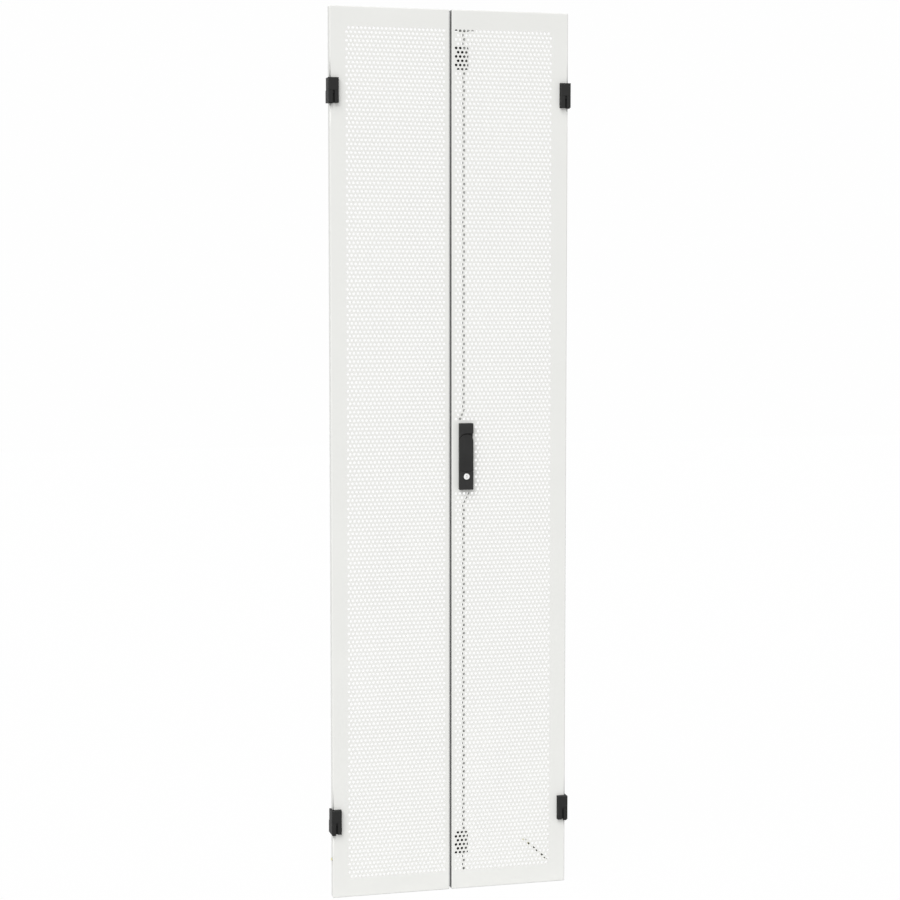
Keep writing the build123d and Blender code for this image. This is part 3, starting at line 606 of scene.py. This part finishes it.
hinge_rows = [centre + HALF_HINGE * share for centre in HINGE_CENTRES for share in HINGE_STUD_SHARES]
bolt_columns = [BOLT_X - BOLT_STUD_STEP, BOLT_X + BOLT_STUD_STEP]
guide_columns = [ROD_X - END_GUIDE_STEP, ROD_X + END_GUIDE_STEP]
left_places = [(-HINGE_STUD_X, z) for z in hinge_rows]
left_places += [(x, z) for z in (BOLT_STUD_Z, -BOLT_STUD_Z) for x in bolt_columns]
right_places = [(HINGE_STUD_X, z) for z in hinge_rows]
right_places += [(x, z) for z in END_GUIDE_STUD_Z for x in guide_columns]
build_studs(-1, left_places)
build_studs(1, right_places)


def smooth_path(points):
    """Places along a smooth curve with these control points, in metres."""
    curve = bpy.data.curves.new("route", "CURVE")
    curve.dimensions = "3D"
    curve.resolution_u = 12
    spline = curve.splines.new("NURBS")
    spline.points.add(len(points) - 1)
    for target, point in zip(spline.points, points):
        target.co = (*(c * MM for c in point), 1.0)
    spline.order_u = 3
    spline.use_endpoint_u = True
    holder = bpy.data.objects.new("route", curve)
    scene.collection.objects.link(holder)
    line = bpy.data.meshes.new_from_object(holder)
    places = [v.co.copy() for v in line.vertices]
    bpy.data.objects.remove(holder)
    bpy.data.meshes.remove(line)
    return places


def tube_mesh(name, places, radius, sides=20):
    """A round tube along a path, with its turns round the axis as UV."""
    bm = bmesh.new()
    uv = bm.loops.layers.uv.new("around")
    rings = []
    normal = Vector((0.0, 1.0, 0.0))
    for k, place in enumerate(places):
        ahead = (places[min(k + 1, len(places) - 1)] - places[max(k - 1, 0)]).normalized()
        normal = (normal - ahead * normal.dot(ahead)).normalized()
        across = ahead.cross(normal)
        ring = []
        for s in range(sides):
            angle = 2 * math.pi * s / sides
            out = normal * math.cos(angle) + across * math.sin(angle)
            ring.append(bm.verts.new(place + out * radius))
        rings.append(ring)
    for k in range(len(rings) - 1):
        for s in range(sides):
            n = (s + 1) % sides
            face = bm.faces.new((rings[k][s], rings[k][n], rings[k + 1][n], rings[k + 1][s]))
            face.smooth = True
            turns = (s / sides, (s + 1) / sides, (s + 1) / sides, s / sides)
            rows = (k, k, k + 1, k + 1)
            for loop, turn, row in zip(face.loops, turns, rows):
                loop[uv].uv = (turn, row / len(rings))
    bm.faces.new(rings[0])
    bm.faces.new(rings[-1])
    bmesh.ops.recalc_face_normals(bm, faces=bm.faces)
    mesh = bpy.data.meshes.new(name)
    bm.to_mesh(mesh)
    bm.free()
    return mesh


# Control points of the leads, as in the solids
stud_x, stud_z = EARTH_STUDS[1]
right_route = [
    (stud_x - RING_RADIUS, SEAT_Y, stud_z + RING_RADIUS),
    (stud_x - LEAD_STEP[0], (LEAD_Y + SEAT_Y) / 2, stud_z + LEAD_STEP[1]),
    ((stud_x + CLIP_X) / 2, LEAD_Y, (stud_z + CLIP_Z) / 2 + LEAD_RADIUS),
    (CLIP_X, LEAD_Y, CLIP_Z),
]
stud_x, stud_z = EARTH_STUDS[-1]
left_route = [
    (stud_x, SEAT_Y, stud_z + RING_RADIUS),
    (stud_x, LEAD_Y, stud_z + (GROMMET_Z - stud_z) * LEAD_TURN_SHARE),
    (stud_x - SLEEVE_RADIUS, LEAD_Y, GROMMET_Z),
    (LEFT_END_X, LEAD_Y, GROMMET_Z),
]
for hand, route in (("right", right_route), ("left", left_route)):
    lead = tube_mesh(hand + "_lead", smooth_path(route), LEAD_RADIUS * MM)
    piece(hand + "_earth_wire", lead, lead_jacket, hand + "_door_leaf",
          (hand + "_earth_lead",))


# Finish of the carried-over nodes

SOFT_ABOVE = 40.0
SOFT_SEGMENTS = 2


def dress(names, mat, bevel=0.0):
    """Give CAD nodes their material and, where asked, softened edges."""
    for name in names:
        obj = nodes[name]
        obj.data.materials.clear()
        obj.data.materials.append(mat)
        if bevel:
            soft = obj.modifiers.new("soft_edges", "BEVEL")
            soft.width = bevel * MM
            soft.segments = SOFT_SEGMENTS
            soft.limit_method = "ANGLE"
            soft.angle_limit = math.radians(SOFT_ABOVE)
            soft.harden_normals = False
            weld = obj.modifiers.new("even_shading", "WEIGHTED_NORMAL")
            weld.keep_sharp = True


hinges = [level + "_" + hand for level in ("upper", "lower") for hand in ("left", "right")]
dress(["hinge_block_" + hinge for hinge in hinges], hinge_black, 0.35)
dress(["hinge_bracket_" + hinge for hinge in hinges], hinge_black, 0.35)
dress(["hinge_pin_" + hinge for hinge in hinges], hinge_black, 0.2)
dress(["handle_base"], handle_black, 0.3)
dress(["handle_lever"], lever_black, 0.3)
dress(["lock_barrel"], handle_black, 0.2)
dress(["lock_plug"], lock_chrome, 0.15)
dress(["lock_tongue", "handle_bridges", "lock_cam"], plate_steel, 0.15)
dress(["handle_rotor", "lever_pin", "lock_nut", "cam_screw"], nut_steel, 0.15)
dress(["handle_screws", "guide_screws"], nut_steel, 0.15)
dress(["left_leaf_nuts", "right_leaf_nuts", "left_earth_nuts", "right_earth_nuts"], nut_steel, 0.25)
dress(["upper_rod", "lower_rod", "upper_slide_bolt", "lower_slide_bolt"], rod_steel)
dress(["upper_rod_guide", "lower_rod_guide"], guide_black, 0.4)
dress(["lower_end_guide", "upper_bolt_case", "lower_bolt_case"], case_black, 0.4)
dress(["upper_end_guide"], guide_grey, 0.4)
dress(["left_ring_terminal", "right_ring_terminal"], terminal_tin, 0.15)
dress(["left_lead_sleeve", "right_lead_sleeve"], sleeve_yellow)
dress(["right_lead_clip"], clip_nylon, 0.3)
dress(["left_lead_grommet"], grommet_rubber)


# Stage, camera and light

# Floor and world, in metres; the glow and the white are what the camera sees of them
FLOOR_HALF = 14.0
FLOOR_Z = -1.0605
FLOOR_GREY = 0.68
FLOOR_GLOW = 1.006
FLOOR_WHITE_SHARE = 0.97
WORLD_WHITE = 0.993
WORLD_LEVEL = 0.52

# Soft lamp, and the camera where the photograph's was
KEY_SIDE = (-0.52, -0.83, 0.98)
KEY_STRENGTH = 2.02
KEY_SPREAD = 50.0
CAMERA_LENS = 82.458
SENSOR_WIDTH = 36.0
CAMERA_PLACE = (-1.260895, -4.800783, 0.402725)
CAMERA_AIM = (-0.001352, -0.030, 0.015926)


def seen_directly(tree):
    """1 where a ray comes from the camera, a mirror or glass, else 0."""
    path = tree.nodes.new("ShaderNodeLightPath")
    seen = tree.nodes.new("ShaderNodeMath")
    seen.operation = "MAXIMUM"
    seen_more = tree.nodes.new("ShaderNodeMath")
    seen_more.operation = "MAXIMUM"
    tree.links.new(path.outputs["Is Camera Ray"], seen.inputs[0])
    tree.links.new(path.outputs["Is Glossy Ray"], seen.inputs[1])
    tree.links.new(seen.outputs["Value"], seen_more.inputs[0])
    tree.links.new(path.outputs["Is Transmission Ray"], seen_more.inputs[1])
    return seen_more.outputs["Value"]


def stage_floor():
    """Plain pale floor under the door, nearly white where it is seen."""
    bm = bmesh.new()
    signs = ((-1, -1), (1, -1), (1, 1), (-1, 1))
    bm.faces.new([bm.verts.new((x * FLOOR_HALF, y * FLOOR_HALF, FLOOR_Z)) for x, y in signs])
    mesh = bpy.data.meshes.new("floor")
    bm.to_mesh(mesh)
    bm.free()
    floor = bpy.data.objects.new("floor", mesh)
    scene.collection.objects.link(floor)
    mat = bpy.data.materials.new("floor")
    mat.use_nodes = True
    tree = mat.node_tree
    shader = tree.nodes["Principled BSDF"]
    shader.inputs["Base Color"].default_value = (FLOOR_GREY, FLOOR_GREY, FLOOR_GREY, 1.0)
    shader.inputs["Roughness"].default_value = 0.9
    shader.inputs["Specular IOR Level"].default_value = 0.1
    white = tree.nodes.new("ShaderNodeEmission")
    white.inputs["Strength"].default_value = FLOOR_GLOW
    share = tree.nodes.new("ShaderNodeMath")
    share.operation = "MULTIPLY"
    share.inputs[1].default_value = FLOOR_WHITE_SHARE
    mix = tree.nodes.new("ShaderNodeMixShader")
    tree.links.new(seen_directly(tree), share.inputs[0])
    tree.links.new(share.outputs["Value"], mix.inputs["Fac"])
    tree.links.new(shader.outputs["BSDF"], mix.inputs[1])
    tree.links.new(white.outputs["Emission"], mix.inputs[2])
    tree.links.new(mix.outputs["Shader"], tree.nodes["Material Output"].inputs["Surface"])
    mesh.materials.append(mat)


def world_light(level):
    """Even pale surroundings: white where it is seen or mirrored, plain light elsewhere."""
    world = bpy.data.worlds.new("studio")
    scene.world = world
    world.use_nodes = True
    tree = world.node_tree
    background = tree.nodes["Background"]
    background.inputs["Color"].default_value = (1.0, 1.0, 1.0, 1.0)
    strength = tree.nodes.new("ShaderNodeMapRange")
    strength.inputs["To Min"].default_value = level
    strength.inputs["To Max"].default_value = WORLD_WHITE
    tree.links.new(seen_directly(tree), strength.inputs["Value"])
    tree.links.new(strength.outputs["Result"], background.inputs["Strength"])


def soft_lamp(name, side, strength, spread):
    """A far, wide lamp that lights the whole object evenly from one side; spread in degrees."""
    lamp = bpy.data.lights.new(name, "SUN")
    lamp.energy = strength
    lamp.angle = math.radians(spread)
    obj = bpy.data.objects.new(name, lamp)
    obj.location = side
    obj.rotation_euler = (-Vector(side)).to_track_quat("-Z", "Y").to_euler()
    scene.collection.objects.link(obj)


stage_floor()
world_light(WORLD_LEVEL)
soft_lamp("key", KEY_SIDE, KEY_STRENGTH, KEY_SPREAD)

camera_data = bpy.data.cameras.new("camera")
camera_data.lens = CAMERA_LENS
camera_data.sensor_width = SENSOR_WIDTH
camera = bpy.data.objects.new("camera", camera_data)
camera.location = CAMERA_PLACE
camera.rotation_euler = (Vector(CAMERA_AIM) - camera.location).to_track_quat("-Z", "Y").to_euler()
scene.collection.objects.link(camera)
scene.camera = camera
scene.view_settings.view_transform = "Standard"
